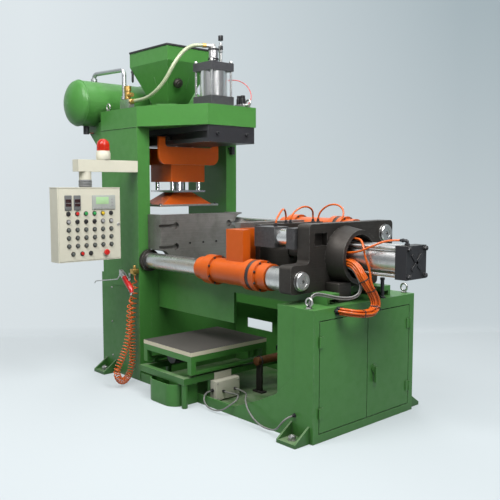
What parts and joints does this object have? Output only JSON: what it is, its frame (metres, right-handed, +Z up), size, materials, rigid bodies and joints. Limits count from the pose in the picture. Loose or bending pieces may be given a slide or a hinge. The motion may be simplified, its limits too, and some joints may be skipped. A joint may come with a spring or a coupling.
{
  "type": "shell core machine",
  "caption": "Horizontal-clamp shell core shooting machine with blow head, hopper, air tank, core tray, control panel on an arm and cabinet doors.",
  "frame": {"origin": "on the floor, midway between the four anchor-bolt holes", "axes": "+X along the tie bars towards the cabinet doors, +Y to the far side, +Z up"},
  "size_m": [2.794, 1.6795, 2.418],
  "materials": {
    "green_paint": "gloss mid-green machine enamel",
    "orange_paint": "gloss orange enamel",
    "cream_paint": "semi-gloss cream powder coat",
    "black_paint": "satin black enamel",
    "dark_iron": "oiled dark machined iron",
    "bright_steel": "ground bright steel",
    "chrome_rod": "hard chromed",
    "alloy_tube": "clear anodised tube",
    "galvanised": "galvanised pipe",
    "brass": "plain brass",
    "tray_top": "dark heat-proof board with a cream edge",
    "beacon_red": "clear red dome on a cream base",
    "screen_black": "black bezels",
    "button_mix": "coloured push buttons and selectors"
  },
  "bodies": {
    "frame": {"air_pipe": "galvanised", "air_tank": "green_paint", "air_valve": "brass", "anchor_feet": "green_paint", "bay_floor": "green_paint", "beacon": "beacon_red", "bed_rails": "green_paint", "cabinet": "green_paint", "clamp_barrel": "alloy_tube", "clamp_caps": "black_paint", "clamp_tie_rods": "bright_steel", "column_cover": "green_paint", "columns": "green_paint", "control_arm": "cream_paint", "drain_valve": "black_paint", "end_plate": "dark_iron", "far_side_plate": "green_paint", "fixed_platen": "dark_iron", "front_pan": "green_paint", "hopper": "green_paint", "hopper_base": "green_paint", "junction_box": "cream_paint", "level_sensor": "bright_steel", "near_side_plate": "green_paint", "pedestal": "green_paint", "pilot_cylinder": "bright_steel", "press_block": "black_paint", "press_cylinder": "alloy_tube", "press_head": "green_paint", "stop_collars": "bright_steel", "tank_ends": "green_paint", "tank_saddles": "green_paint", "tie_bar_nuts": "bright_steel", "tie_bars": "bright_steel", "tray_rails": "green_paint", "valve_block": "bright_steel"},
    "carriage": {"moving_platen": "dark_iron", "guide_sleeves": "orange_paint", "ejector_plate": "dark_iron", "ejector_cylinders": "black_paint", "clamp_rod": "chrome_rod"},
    "blow_head": {"blow_chamber": "orange_paint", "hanger_yoke": "orange_paint", "yoke_rollers": "dark_iron", "blow_pillars": "chrome_rod", "blow_cone": "orange_paint"},
    "tray": {"tray_board": "tray_top", "tray_trolley": "green_paint", "tray_motor": "black_paint"},
    "left_door": {"cabinet_left_door": "green_paint"},
    "right_door": {"cabinet_right_door": "green_paint"},
    "panel": {"control_panel": "cream_paint", "panel_screens": "screen_black", "panel_buttons": "button_mix"}
  },
  "joints": [
    {"name": "clamp_slide", "type": "slide", "parent": "frame", "child": "carriage", "axis": [-1, 0, 0], "range_m": [0, 0.3]},
    {"name": "blow_head_travel", "type": "slide", "parent": "frame", "child": "blow_head", "axis": [1, 0, 0], "range_m": [0, 0.428]},
    {"name": "tray_slide", "type": "slide", "parent": "frame", "child": "tray", "axis": [0, 1, 0], "range_m": [0, 0.235]},
    {"name": "left_door_hinge", "type": "hinge", "parent": "frame", "child": "left_door", "pos_m": [1.0713, -0.405, 0.355], "axis": [0, 0, -1], "range_deg": [0, 110]},
    {"name": "right_door_hinge", "type": "hinge", "parent": "frame", "child": "right_door", "pos_m": [1.0713, 0.405, 0.355], "axis": [0, 0, 1], "range_deg": [0, 110]},
    {"name": "panel_swivel", "type": "hinge", "parent": "frame", "child": "panel", "pos_m": [-0.62, -0.832, 1.4], "axis": [0, 0, 1], "range_deg": [-90, 90]}
  ]
}
